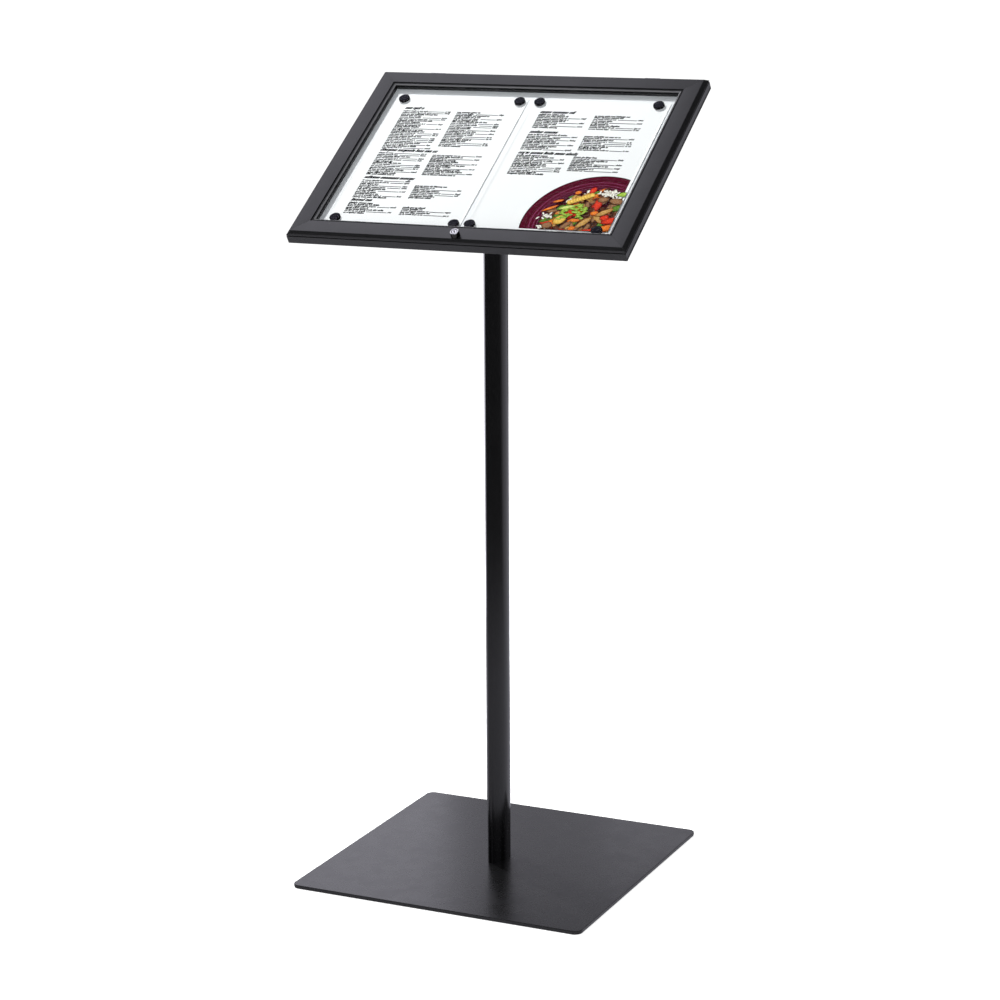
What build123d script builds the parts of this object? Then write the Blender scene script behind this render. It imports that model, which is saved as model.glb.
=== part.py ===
from build123d import *
import os
from math import cos, radians, sin

os.makedirs("parts", exist_ok=True)

# A lockable display case, tilted like a lectern, on an oval post and a square steel base.
# Millimetres, Z up, X along the case and Y from front to back. The origin is on the floor
# under the middle of the base, which is also the axis of the post.

# ---------------------------------------------------------------- driving sizes
fit = 0.05  # radial clearance of pins, rods and screws in their holes

# Base
base_side = 454.0
base_corner = 12.0
plate_thick = 4.0
plate_edge = 0.5
mat_thick = 1.5
mat_inset = 0.8

# Post: an oval tube, its long axis front to back, drawn from four tangent arcs
post_depth = 60.0
post_width = 30.0
post_nose = 6.0
post_wall = 2.0
insert_gap = 0.1
foot_insert_height = 80.0
foot_screw_pitch = 19.0
rod_r = 4.0

# Head: the face plane is the front of the door frame
tilt = 33.8
head_y = 7.0
head_z = 1045.0
case_width = 514.0
case_height = 373.0
case_depth = 20.0

# Door frame section
door_chamfer = 5.2
door_edge = 5.7  # depth of the frame's outer edge, where it parts from the case
face_width = 28.0
window_edge = 33.5  # from the outer edge to the inner edge of the gasket
nest_start = 24.5  # the inner part of the door frame drops into the case
nest_depth = 9.5
wall = 1.4
glass_front = 3.5
glass_thick = 2.0

# Case frame section
case_front = 7.5
case_wall = 1.6
case_rail = 24.0
panel_front = 10.0
panel_thick = 1.0
cover_front = 18.4
cover_thick = 1.2

# Display
page_width = 210.0
page_height = 297.0
page_thick = 0.2
page_top = 136.8
page_left_edges = {"page_left": -214.0, "page_right": 5.5}
magnet_r = 8.0
magnet_thick = 3.6
magnet_places = [
    (-202, 130), (-16.5, 131), (15, 131), (198.5, 131),
    (-200, -140), (-14.5, -141.5), (9.5, -140.5), (199, -141),
]

# Hinges along the top edge
hinge_places = (-170.0, 170.0)
hinge_length = 60.0
hinge_leaf = 0.8
hinge_leaf_inner = 16.0  # how far a leaf reaches in from the outer edge
hinge_offset = 1.9  # pin axis beyond the outer edge
hinge_depth = 7.8  # pin axis below the face
knuckle_r = 1.6
pin_r = 0.8
end_knuckle = 18.0
knuckle_gap = 0.2
rivet_r = 1.6
rivet_head_r = 2.4
rivet_edge = 9.0
rivet_pitch = 21.0

# Cam lock in the bottom rail
lock_u = 4.0
lock_edge = 12.0
lock_r = 6.5
lock_height = 7.5
lock_body_r = 5.5
plug_r = 4.0
cam_reach = 9.7
cam_width = 7.0
cam_top = 9.5
cam_thick = 1.6

# Fixing of the head to the post
flange_width = 130.0
flange_height = 104.0
flange_thick = 4.0
head_screw_u = 52.0
head_screw_v = 38.0
adapter_low = 925.0
nut_seat = 985.0
stiffener_thick = 3.0

# ---------------------------------------------------------------- planes of the head
# Pieces of the head are placed by u across, v up the slope and n out of the face.
face = Plane(
    origin=(0, head_y, head_z),
    x_dir=(1, 0, 0),
    z_dir=(0, -sin(radians(tilt)), cos(radians(tilt))),
)
flange_back = face.offset(-(cover_front + cover_thick + flange_thick))

half_width = case_width / 2
half_height = case_height / 2
lock_v = -half_height + lock_edge

# Each side: its turn about the face's normal, its length and the distance to the far side
sides = {
    "bottom": (0, case_width, case_height),
    "right": (90, case_height, case_width),
    "top": (180, case_width, case_height),
    "left": (270, case_height, case_width),
}


def save(part, name):
    """Label a finished piece and write it."""
    part.label = name
    export_step(part, f"parts/{name}.step")


def oval(width, depth, nose):
    """Oval outline: two broad arcs joined by two small noses at the front and back."""
    half, reach = width / 2, depth / 2
    broad = (half**2 + (reach - nose) ** 2 - nose**2) / (2 * (half - nose))
    with BuildSketch() as outline:
        with Locations((half - broad, 0)):
            Circle(broad)
        with Locations((broad - half, 0)):
            Circle(broad, mode=Mode.INTERSECT)
        fillet(outline.vertices(), nose)
    return outline.sketch


def side_frame(side):
    """Plane on the face at one outer edge: x along the edge, y inwards, z outwards."""
    turn, run, span = sides[side]
    return Plane(face.location * Location((0, 0, 0), (0, 0, turn)) * Location((0, -span / 2, 0)))


def mitred_rail(side, outline, hollows=(), gap=0.0):
    """One side of a frame, cut at 45 degrees at both ends, less a gap at each mitre.

    Points are (distance in from the outer edge, height above the face).
    """
    turn, run, span = sides[side]
    frame = side_frame(side)
    section = Plane(origin=frame.origin, x_dir=frame.y_dir, z_dir=frame.x_dir)
    with BuildPart() as rail:
        with BuildSketch(section):
            with BuildLine():
                Polyline(*outline, close=True)
            make_face()
            for hollow in hollows:
                with BuildLine():
                    Polyline(*hollow, close=True)
                make_face(mode=Mode.SUBTRACT)
        extrude(amount=run / 2, both=True)
        for end in (-1, 1):
            corner = frame.from_local_coords((end * (run / 2 - gap), 0, 0))
            along = frame.from_local_coords(Vector(-end, 1, 0)) - frame.origin
            normal = frame.from_local_coords(Vector(-end, -1, 0)) - frame.origin
            split(bisect_by=Plane(origin=corner, x_dir=along, z_dir=normal), keep=Keep.TOP)
    return rail.part


def turned(places, points, surface=face):
    """Solid of revolution about the normal of a surface, repeated at each place.

    Points are (radius, height), starting and ending on the axis or closing a ring.
    """
    with BuildPart() as body:
        for place in places:
            origin = surface.from_local_coords((*place, 0))
            section = Plane(origin=origin, x_dir=surface.x_dir, z_dir=-surface.y_dir)
            with BuildSketch(section):
                with BuildLine():
                    Polyline(*points, close=True)
                make_face()
            revolve(axis=Axis(origin, surface.z_dir))
    return body.part


# ---------------------------------------------------------------- base
with BuildPart() as base_mat:
    with BuildSketch():
        side = base_side - 2 * mat_inset
        RectangleRounded(side, side, base_corner - mat_inset)
    extrude(amount=mat_thick)
save(base_mat.part, "base_mat")

plate_top = mat_thick + plate_thick
foot_screw_places = [(0, -foot_screw_pitch), (0, 0), (0, foot_screw_pitch)]
foot_screw_r = 3.0
foot_head_r = 6.0
foot_screw_length = 24.0

with BuildPart() as base_plate:
    with BuildSketch(Plane.XY.offset(mat_thick)):
        RectangleRounded(base_side, base_side, base_corner)
    extrude(amount=plate_thick)
    chamfer(base_plate.faces().sort_by(Axis.Z)[-1].edges(), plate_edge)
    underside = Plane(origin=(0, 0, mat_thick), x_dir=(1, 0, 0), z_dir=(0, 0, -1))
    with Locations(underside):
        with Locations(*foot_screw_places):
            CounterSinkHole(
                radius=foot_screw_r + fit,
                counter_sink_radius=foot_head_r + 2 * fit,
                counter_sink_angle=90,
            )
save(base_plate.part, "base_plate")

foot_screw_points = [
    (0, 0),
    (foot_head_r, 0),
    (foot_screw_r, foot_head_r - foot_screw_r),
    (foot_screw_r, foot_screw_length),
    (0, foot_screw_length),
]
save(turned(foot_screw_places, foot_screw_points, Plane.XY.offset(mat_thick)), "foot_screws")

# ---------------------------------------------------------------- post
rod_low = 45.0
rod_high = 998.0
inner_width = post_width - 2 * post_wall - 2 * insert_gap
inner_depth = post_depth - 2 * post_wall - 2 * insert_gap
inner_nose = post_nose - post_wall - insert_gap

with BuildPart() as foot_insert:
    with BuildSketch(Plane.XY.offset(plate_top)):
        add(oval(inner_width, inner_depth, inner_nose))
    extrude(amount=foot_insert_height)
    with BuildSketch(Plane.XY.offset(plate_top)):
        with Locations(*foot_screw_places):
            Circle(foot_screw_r + fit)
    extrude(amount=foot_screw_length, mode=Mode.SUBTRACT)
    with BuildSketch(Plane.XY.offset(rod_low - 3)):
        Circle(rod_r + fit)
    extrude(amount=foot_insert_height, mode=Mode.SUBTRACT)
save(foot_insert.part, "post_foot_insert")

with BuildPart() as post_tube:
    with BuildSketch(Plane.XY.offset(plate_top)):
        add(oval(post_width, post_depth, post_nose))
        inside = oval(post_width - 2 * post_wall, post_depth - 2 * post_wall, post_nose - post_wall)
        add(inside, mode=Mode.SUBTRACT)
    extrude(amount=head_z)
    split(bisect_by=flange_back, keep=Keep.BOTTOM)
save(post_tube.part, "post_tube")

with BuildPart() as tie_rod:
    with BuildSketch(Plane.XY.offset(rod_low)):
        Circle(rod_r)
    extrude(amount=rod_high - rod_low)
    chamfer(tie_rod.edges().filter_by(GeomType.CIRCLE), 0.6)
save(tie_rod.part, "tie_rod")

# Casting between post and case: a plug inside the tube under a tilted flange
nut_pocket_r = 9.5
flange_v = -flange_back.origin.Y / cos(radians(tilt))  # where the post's axis meets the flange
head_screw_places = [
    (across * head_screw_u, flange_v + up * head_screw_v) for across in (-1, 1) for up in (-1, 1)
]

with BuildPart() as head_adapter:
    with BuildSketch(Plane.XY.offset(adapter_low)):
        add(oval(inner_width, inner_depth, inner_nose))
    extrude(amount=head_z - adapter_low)
    split(bisect_by=flange_back, keep=Keep.BOTTOM)
    with BuildSketch(flange_back):
        with Locations((0, flange_v)):
            RectangleRounded(flange_width, flange_height, 10)
        with Locations(*head_screw_places):
            Circle(2.5 + 2 * fit, mode=Mode.SUBTRACT)
    extrude(amount=flange_thick)
    with BuildSketch(Plane.XY.offset(nut_seat)):
        Circle(nut_pocket_r)
    extrude(amount=head_z - nut_seat, mode=Mode.SUBTRACT)
    with BuildSketch(Plane.XY.offset(adapter_low)):
        Circle(rod_r + fit)
    extrude(amount=head_z - adapter_low, mode=Mode.SUBTRACT)
save(head_adapter.part, "head_adapter")

washer_thick = 1.6
with BuildPart() as tie_washer:
    with BuildSketch(Plane.XY.offset(nut_seat)):
        Circle(8)
        Circle(rod_r + 2 * fit, mode=Mode.SUBTRACT)
    extrude(amount=washer_thick)
save(tie_washer.part, "tie_washer")

with BuildPart() as tie_nut:
    with BuildSketch(Plane.XY.offset(nut_seat + washer_thick)):
        RegularPolygon(6.5, 6, major_radius=False)
        Circle(rod_r + fit, mode=Mode.SUBTRACT)
    extrude(amount=6.5)
save(tie_nut.part, "tie_nut")

# ---------------------------------------------------------------- case frame and back
rear_edge = 0.8
case_outline = [
    (0, -case_front),
    (case_rail, -case_front),
    (case_rail, -panel_front - panel_thick),
    (case_rail + 5, -panel_front - panel_thick),
    (case_rail + 5, -panel_front - panel_thick - wall),
    (case_rail, -panel_front - panel_thick - wall),
    (case_rail, -cover_front + wall),
    (case_rail + 6, -cover_front + wall),
    (case_rail + 6, -cover_front),
    (case_rail, -cover_front),
    (case_rail, -case_depth),
    (rear_edge, -case_depth),
    (0, -case_depth + rear_edge),
]
case_hollow = [
    (case_wall, -case_front - case_wall),
    (case_rail - case_wall, -case_front - case_wall),
    (case_rail - case_wall, -case_depth + case_wall),
    (case_wall, -case_depth + case_wall),
]


def rivets(start, way, grip, clearance=0.0):
    """Flush rivets of both hinges, from a leaf at height start through a wall to their upset ends."""
    far = start + way * (hinge_leaf + grip)
    points = [
        (0, start),
        (rivet_head_r + clearance, start),
        (rivet_r + clearance, start + way * hinge_leaf),
        (rivet_r + clearance, far),
        (rivet_r + 0.9, far),
        (rivet_r + 0.6, far + way),
        (0, far + way),
    ]
    return turned(rivet_places, points)


case_leaf_top = hinge_leaf - case_front
door_leaf_low = -door_edge - hinge_leaf

cover_screw_r = 1.5
cover_screw_edge = 27.0
cover_rows = [(u, s * (half_height - cover_screw_edge)) for u in (-200, -100, 0, 100, 200) for s in (-1, 1)]
cover_columns = [(s * (half_width - cover_screw_edge), v) for v in (-80, 80) for s in (-1, 1)]
cover_screw_places = cover_rows + cover_columns
rivet_places = [
    (u + step, half_height - rivet_edge)
    for u in hinge_places
    for step in (-rivet_pitch, 0, rivet_pitch)
]
lock_slot_r = 6.3
lock_slot_reach = 11.6

for name in sides:
    with BuildPart() as case_side:
        add(mitred_rail(name, case_outline, [case_hollow]))
        with BuildSketch(face.offset(-cover_front)):
            with Locations(*cover_screw_places):
                Circle(cover_screw_r + fit)
        extrude(amount=wall, mode=Mode.SUBTRACT)
        if name == "top":
            add(rivets(case_leaf_top, -1, case_wall, fit), mode=Mode.SUBTRACT)
        if name == "bottom":
            with BuildSketch(face.offset(-case_front)):
                with Locations((lock_u, lock_v)):
                    Circle(lock_slot_r)
                with Locations((lock_u + lock_slot_reach / 2, lock_v)):
                    Rectangle(lock_slot_reach, cam_width + 1.6)
            extrude(amount=-case_wall, mode=Mode.SUBTRACT)
    save(case_side.part, f"case_rail_{name}")


def corner_keys(near, far, leg, low, high):
    """Four L-shaped keys that join the mitred corners from inside the rails."""
    with BuildPart() as keys:
        with BuildSketch(face.offset(-low)):
            for across in (-1, 1):
                for up in (-1, 1):
                    outline = [(near, near), (leg, near), (leg, far), (far, far), (far, leg), (near, leg)]
                    with BuildLine():
                        Polyline(
                            *[(across * (half_width - a), up * (half_height - b)) for a, b in outline],
                            close=True,
                        )
                    make_face()
        extrude(amount=low - high)
    return keys.part


save(corner_keys(4, 20, 50, 18.2, 9.3), "case_corner_keys")

panel_gap = 0.3
panel_edge = case_rail + panel_gap
with BuildPart() as display_panel:
    with BuildSketch(face.offset(-panel_front - panel_thick)):
        Rectangle(case_width - 2 * panel_edge, case_height - 2 * panel_edge)
    extrude(amount=panel_thick)
save(display_panel.part, "display_panel")

cover_back = cover_front + cover_thick
with BuildPart() as rear_cover:
    with BuildSketch(face.offset(-cover_back)):
        Rectangle(case_width - 2 * panel_edge, case_height - 2 * panel_edge)
        with Locations(*cover_screw_places):
            Circle(cover_screw_r + 2 * fit, mode=Mode.SUBTRACT)
        with Locations(*head_screw_places):
            Circle(2.5 + 2 * fit, mode=Mode.SUBTRACT)
    extrude(amount=cover_thick)
save(rear_cover.part, "rear_cover")

cover_screw_points = [
    (0, 3.5), (cover_screw_r, 3.5), (cover_screw_r, 0), (2.8, 0), (2.8, -0.9), (2.0, -1.6), (0, -1.6),
]
save(turned(cover_screw_places, cover_screw_points, face.offset(-cover_back)), "rear_cover_screws")

# Steel plate inside the case that takes the head's screws
with BuildPart() as stiffener:
    with BuildSketch(face.offset(-cover_front)):
        with Locations((0, flange_v)):
            Rectangle(220, 130)
        with Locations(*head_screw_places):
            Circle(2.5 + 2 * fit, mode=Mode.SUBTRACT)
    extrude(amount=stiffener_thick)
save(stiffener.part, "stiffener_plate")

flange_face = cover_back + flange_thick
screw_length = 11.0
head_screw_points = [
    (0, screw_length), (2.5, screw_length), (2.5, 0), (4.75, 0), (4.6, -1.4), (3.4, -2.7), (1.6, -2.7),
    (1.6, -1.2), (0, -1.2),
]
save(turned(head_screw_places, head_screw_points, face.offset(-flange_face)), "head_screws")

with BuildPart() as head_nuts:
    with BuildSketch(face.offset(-cover_front + stiffener_thick)):
        with Locations(*head_screw_places):
            RegularPolygon(4, 6, major_radius=False)
        with Locations(*head_screw_places):
            Circle(2.5 + fit, mode=Mode.SUBTRACT)
    extrude(amount=3)
save(head_nuts.part, "head_nuts")

# Dust seal in the parting line between door and case: it passes inside the hinges and
# stops on each side of the lock
seal_width = 4.0
seal_edge = 3.5
seal_top_edge = 19.0
lock_clear = 13.0
with BuildPart() as dust_seal:
    with BuildSketch(face.offset(-case_front)):
        for end in (-1, 1):
            with Locations((end * (half_width - seal_edge), 0)):
                Rectangle(seal_width, case_height - 2)
            length = half_width - seal_edge - seal_width + end * lock_u - lock_clear
            middle = half_width - seal_edge - seal_width - length / 2
            with Locations((end * middle, -half_height + seal_edge)):
                Rectangle(length, seal_width)
        with Locations((0, half_height - seal_top_edge)):
            Rectangle(case_width - 2 * seal_edge - 2 * seal_width, seal_width)
    extrude(amount=case_front - door_edge - 0.1)
save(dust_seal.part, "dust_seal")

# ---------------------------------------------------------------- pages and magnets
for name, left in page_left_edges.items():
    with BuildPart() as page:
        with BuildSketch(face.offset(-panel_front)):
            with Locations((left + page_width / 2, page_top - page_height / 2)):
                Rectangle(page_width, page_height)
        extrude(amount=page_thick)
    save(page.part, name)

with BuildPart() as magnets:
    with BuildSketch(face.offset(-panel_front + page_thick)):
        with Locations(*magnet_places):
            Circle(magnet_r)
    extrude(amount=magnet_thick)
    fillet(magnets.edges().group_by(Axis(face.origin, face.z_dir))[-1], 0.6)
save(magnets.part, "magnets")

# ---------------------------------------------------------------- door frame
lip = window_edge - 2.0
nest_end = window_edge - 0.5
door_outline = [
    (0, -door_edge),
    (0, -door_chamfer),
    (door_chamfer, 0),
    (face_width, 0),
    (face_width, -2.4),
    (lip, -2.4),
    (lip, -glass_front),
    (face_width - 1, -glass_front),
    (face_width - 1, -glass_front - glass_thick),
    (nest_end, -glass_front - glass_thick),
    (nest_end, -nest_depth),
    (nest_start, -nest_depth),
    (nest_start, -door_edge),
]
face_hollow = [
    (3.3, -door_edge + wall),
    (6.0, -wall),
    (face_width - 1 - wall, -wall),
    (face_width - 1 - wall, -door_edge + wall),
]
nest_hollow = [
    (nest_start + wall, -glass_front - glass_thick - wall),
    (nest_end - wall, -glass_front - glass_thick - wall),
    (nest_end - wall, -nest_depth + 1.2),
    (nest_start + wall, -nest_depth + 1.2),
]

for name in sides:
    with BuildPart() as door_side:
        add(mitred_rail(name, door_outline, [face_hollow, nest_hollow]))
        if name == "top":
            add(rivets(door_leaf_low, 1, wall, fit), mode=Mode.SUBTRACT)
        if name == "bottom":
            with BuildSketch(face.offset(-door_edge)):
                with Locations((lock_u, lock_v)):
                    Circle(lock_body_r + fit)
            extrude(amount=door_edge, mode=Mode.SUBTRACT)
    save(door_side.part, f"door_rail_{name}")

save(corner_keys(10, 22, 42, 4.2, 1.5), "door_corner_keys")

glass_edge = face_width - 0.6
with BuildPart() as glazing:
    with BuildSketch(face.offset(-glass_front - glass_thick)):
        Rectangle(case_width - 2 * glass_edge, case_height - 2 * glass_edge)
    extrude(amount=glass_thick)
save(glazing.part, "glazing")

gasket_outline = [
    (face_width + 0.5, -2.4),
    (face_width + 0.5, -1.2),
    (face_width + 1.6, -0.7),
    (face_width + 3.4, -0.9),
    (window_edge, -2.2),
    (window_edge, -glass_front),
    (lip, -glass_front),
    (lip, -2.4),
]
with BuildPart() as gasket:
    for name in sides:
        add(mitred_rail(name, gasket_outline, gap=0.1))
save(gasket.part, "glazing_gasket")


# ---------------------------------------------------------------- hinges
pin_v = half_height + hinge_offset


def hinge_leaves(low, knuckles, rivet):
    """One leaf of each hinge, with its knuckles given as (start, length) along the pin."""
    reach = hinge_leaf_inner - 0.1
    with BuildPart() as leaves:
        for centre in hinge_places:
            start = centre - hinge_length / 2
            with BuildSketch(face.offset(low)):
                with Locations((centre, half_height - 0.1 - reach / 2)):
                    Rectangle(hinge_length, reach)
                for place, length in knuckles:
                    with Locations((start + place + length / 2, (half_height + pin_v) / 2)):
                        Rectangle(length, hinge_offset + 2)
            extrude(amount=hinge_leaf)
            for place, length in knuckles:
                origin = face.from_local_coords((start + place, pin_v, -hinge_depth))
                with BuildSketch(Plane(origin=origin, x_dir=face.y_dir, z_dir=face.x_dir)):
                    Circle(knuckle_r)
                extrude(amount=length)
                with BuildSketch(Plane(origin=origin, x_dir=face.y_dir, z_dir=face.x_dir)):
                    Circle(pin_r + fit)
                extrude(amount=length, mode=Mode.SUBTRACT)
        add(rivet, mode=Mode.SUBTRACT)
    return leaves.part


mid_start = end_knuckle + knuckle_gap
mid_knuckle = (mid_start, hinge_length - 2 * mid_start)
end_knuckles = [(0, end_knuckle), (hinge_length - end_knuckle, end_knuckle)]
case_holes = rivets(case_leaf_top, -1, case_wall, fit)
door_holes = rivets(door_leaf_low, 1, wall, fit)
save(hinge_leaves(-case_front, end_knuckles, case_holes), "hinge_case_leaves")
save(hinge_leaves(door_leaf_low, [mid_knuckle], door_holes), "hinge_door_leaves")
save(rivets(case_leaf_top, -1, case_wall), "hinge_case_rivets")
save(rivets(door_leaf_low, 1, wall), "hinge_door_rivets")

with BuildPart() as hinge_pins:
    for centre in hinge_places:
        origin = face.from_local_coords((centre - hinge_length / 2, pin_v, -hinge_depth))
        with BuildSketch(Plane(origin=origin, x_dir=face.y_dir, z_dir=face.x_dir)):
            Circle(pin_r)
        extrude(amount=hinge_length)
save(hinge_pins.part, "hinge_pins")

# ---------------------------------------------------------------- cam lock
lock_place = [(lock_u, lock_v)]
bore_r = plug_r + fit
housing_low = -9.2
housing_points = [
    (bore_r, lock_height - 0.3),
    (bore_r + 0.3, lock_height),
    (lock_r - 0.7, lock_height),
    (lock_r, lock_height - 0.7),
    (lock_r, 0),
    (lock_body_r, 0),
    (lock_body_r, housing_low),
    (bore_r, housing_low),
]
save(turned(lock_place, housing_points), "lock_housing")

nut_thick = 1.6
with BuildPart() as lock_nut:
    with BuildSketch(face.offset(-door_edge - nut_thick)):
        with Locations((lock_u, lock_v)):
            RegularPolygon(7, 6, major_radius=False)
            Circle(lock_body_r + fit, mode=Mode.SUBTRACT)
    extrude(amount=nut_thick)
save(lock_nut.part, "lock_nut")

tang = 5.0
tang_low = cam_top + cam_thick
plug_top = lock_height - 0.2
screw_r = 1.5
with BuildPart() as lock_plug:
    with BuildSketch(face.offset(housing_low - 0.1)):
        with Locations((lock_u, lock_v)):
            Circle(plug_r)
    extrude(amount=plug_top - housing_low + 0.1)
    with BuildSketch(face.offset(-tang_low)):
        with Locations((lock_u, lock_v)):
            Rectangle(tang, tang)
    extrude(amount=tang_low + housing_low)
    with BuildSketch(face.offset(plug_top)):
        with Locations(Location((lock_u, lock_v), 30)):
            Rectangle(1.2, 5.6)
            Circle(1.1)
    extrude(amount=-6, mode=Mode.SUBTRACT)
    with BuildSketch(face.offset(-tang_low)):
        with Locations((lock_u, lock_v)):
            Circle(screw_r + fit)
    extrude(amount=9, mode=Mode.SUBTRACT)
save(lock_plug.part, "lock_plug")

cam_straight = cam_reach - cam_width / 2
with BuildPart() as lock_cam:
    with BuildSketch(face.offset(-tang_low)):
        with Locations((lock_u, lock_v)):
            Circle(5.2)
        with Locations((lock_u + cam_straight / 2, lock_v)):
            Rectangle(cam_straight, cam_width)
        with Locations((lock_u + cam_straight, lock_v)):
            Circle(cam_width / 2)
        with Locations((lock_u, lock_v)):
            Rectangle(tang + 2 * fit, tang + 2 * fit, mode=Mode.SUBTRACT)
    extrude(amount=cam_thick)
save(lock_cam.part, "lock_cam")

cam_screw_points = [
    (0, 8), (screw_r, 8), (screw_r, 0), (3.4, 0), (3.2, -1.0), (2.2, -1.8), (0, -1.8),
]
save(turned(lock_place, cam_screw_points, face.offset(-tang_low)), "cam_screw")
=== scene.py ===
"""Studio scene of a tilted display case on a post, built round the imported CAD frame. Metres."""

import math
import random

import bmesh
import bpy
from mathutils import Matrix, Vector


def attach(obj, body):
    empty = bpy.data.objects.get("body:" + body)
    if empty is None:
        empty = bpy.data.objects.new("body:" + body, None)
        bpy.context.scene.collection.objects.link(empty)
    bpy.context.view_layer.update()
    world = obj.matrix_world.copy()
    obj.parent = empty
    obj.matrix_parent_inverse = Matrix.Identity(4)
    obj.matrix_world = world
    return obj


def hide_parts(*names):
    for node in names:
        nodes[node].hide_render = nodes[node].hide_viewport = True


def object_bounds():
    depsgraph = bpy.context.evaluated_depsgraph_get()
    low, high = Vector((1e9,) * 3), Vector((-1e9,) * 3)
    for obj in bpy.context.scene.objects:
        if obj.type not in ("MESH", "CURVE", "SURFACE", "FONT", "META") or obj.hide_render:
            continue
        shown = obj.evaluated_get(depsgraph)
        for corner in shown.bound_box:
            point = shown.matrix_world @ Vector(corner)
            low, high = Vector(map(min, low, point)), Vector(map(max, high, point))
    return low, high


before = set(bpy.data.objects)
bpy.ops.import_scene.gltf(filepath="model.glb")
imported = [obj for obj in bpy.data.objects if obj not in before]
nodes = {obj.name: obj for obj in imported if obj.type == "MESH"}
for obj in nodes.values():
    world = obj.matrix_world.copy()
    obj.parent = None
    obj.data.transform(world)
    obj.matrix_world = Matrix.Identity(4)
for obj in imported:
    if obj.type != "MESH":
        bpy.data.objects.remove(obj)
cad_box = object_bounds()

# ---------------------------------------------------------------- the tilted face
MM = 0.001
TILT = math.radians(33.8)
FACE = Vector((0, 0.007, 1.045))
ACROSS = Vector((1, 0, 0))
UP = Vector((0, math.cos(TILT), math.sin(TILT)))
OUT = Vector((0, -math.sin(TILT), math.cos(TILT)))


def on_face(u, v, n):
    """Point u across, v up the slope and n out of the face plane, all in millimetres."""
    return FACE + (ACROSS * u + UP * v + OUT * n) * MM


def circle(radius, sides):
    """Points round a circle, as (x, y) pairs."""
    turns = [2 * math.pi * k / sides for k in range(sides)]
    return [(radius * math.cos(t), radius * math.sin(t)) for t in turns]


def towards(azimuth, elevation):
    """Direction at an azimuth from +Y towards +X and an elevation, in degrees."""
    a, e = math.radians(azimuth), math.radians(elevation)
    return Vector((math.sin(a) * math.cos(e), math.cos(a) * math.cos(e), math.sin(e)))


# ---------------------------------------------------------------- node helpers
class Nodes:
    """A small wrapper that adds and links shader nodes, in a new material or in a world."""

    def __init__(self, name=None, world=None):
        self.owner = world or bpy.data.materials.new(name)
        self.owner.use_nodes = True
        self.tree = self.owner.node_tree
        self.tree.nodes.clear()
        kind = "World" if world else "Material"
        self.output = self.tree.nodes.new("ShaderNodeOutput" + kind)

    def add(self, kind, **settings):
        node = self.tree.nodes.new("ShaderNode" + kind)
        for key, value in settings.items():
            if hasattr(node, key):
                setattr(node, key, value)
            else:
                self.put(node.inputs[key.replace("_", " ")], value)
        return node

    def put(self, socket, value):
        if isinstance(value, bpy.types.NodeSocket):
            self.tree.links.new(value, socket)
        else:
            socket.default_value = value

    def math(self, operation, a, b):
        node = self.add("Math", operation=operation)
        self.put(node.inputs[0], a)
        self.put(node.inputs[1], b)
        return node.outputs[0]

    def vector(self, operation, a, b=None, scale=None):
        node = self.add("VectorMath", operation=operation)
        self.put(node.inputs[0], a)
        if b is not None:
            self.put(node.inputs[1], b)
        if scale is not None:
            self.put(node.inputs["Scale"], scale)
        measured = operation in ("DOT_PRODUCT", "DISTANCE", "LENGTH")
        return node.outputs["Value" if measured else "Vector"]

    def mix(self, factor, a, b):
        node = self.add("Mix", data_type="RGBA")
        self.put(node.inputs[0], factor)
        self.put(node.inputs[6], a)
        self.put(node.inputs[7], b)
        return node.outputs[2]

    def mix_shader(self, factor, a, b):
        node = self.add("MixShader")
        for socket, given in zip(node.inputs, (factor, a, b)):
            self.put(socket, given)
        return node.outputs[0]

    def remap(self, value, low, high, to_low=0.0, to_high=1.0, smooth=False):
        node = self.add("MapRange", interpolation_type="SMOOTHSTEP" if smooth else "LINEAR")
        for socket, given in zip(node.inputs, (value, low, high, to_low, to_high)):
            self.put(socket, given)
        return node.outputs[0]

    def noise(self, scale, detail=3.0, roughness=0.5, stretch=None):
        vector = self.add("TexCoord").outputs["Object"]
        if stretch is not None:
            mapping = self.add("Mapping", Scale=stretch)
            self.put(mapping.inputs["Vector"], vector)
            vector = mapping.outputs[0]
        node = self.add("TexNoise", Scale=scale, Detail=detail, Roughness=roughness)
        self.put(node.inputs["Vector"], vector)
        return node.outputs["Fac"]

    def bump(self, height, strength, distance, normal=None):
        node = self.add("Bump", Strength=strength, Distance=distance, Height=height)
        if normal is not None:
            self.put(node.inputs["Normal"], normal)
        return node.outputs[0]

    def finish(self, shader):
        self.put(self.output.inputs["Surface"], shader)
        return self.owner


def grey(value):
    """A very slightly blue grey."""
    return (value, value, value * 1.04, 1)


def edge_amount(n, radius):
    """1 along convex and concave edges, 0 on flats, and the rounded normal that goes with it."""
    bevel = n.add("Bevel", samples=4, Radius=radius).outputs[0]
    dot = n.vector("DOT_PRODUCT", bevel, n.add("NewGeometry").outputs["Normal"])
    return n.remap(dot, 0.995, 0.80), bevel


def facing_amount(n, direction, low, high):
    """0 to 1 as a surface turns towards a direction, both as they are at rest."""
    facing = n.vector("DOT_PRODUCT", n.add("TexCoord").outputs["Normal"], direction)
    return n.remap(facing, low, high)


RAIL_W = 28.0


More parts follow.
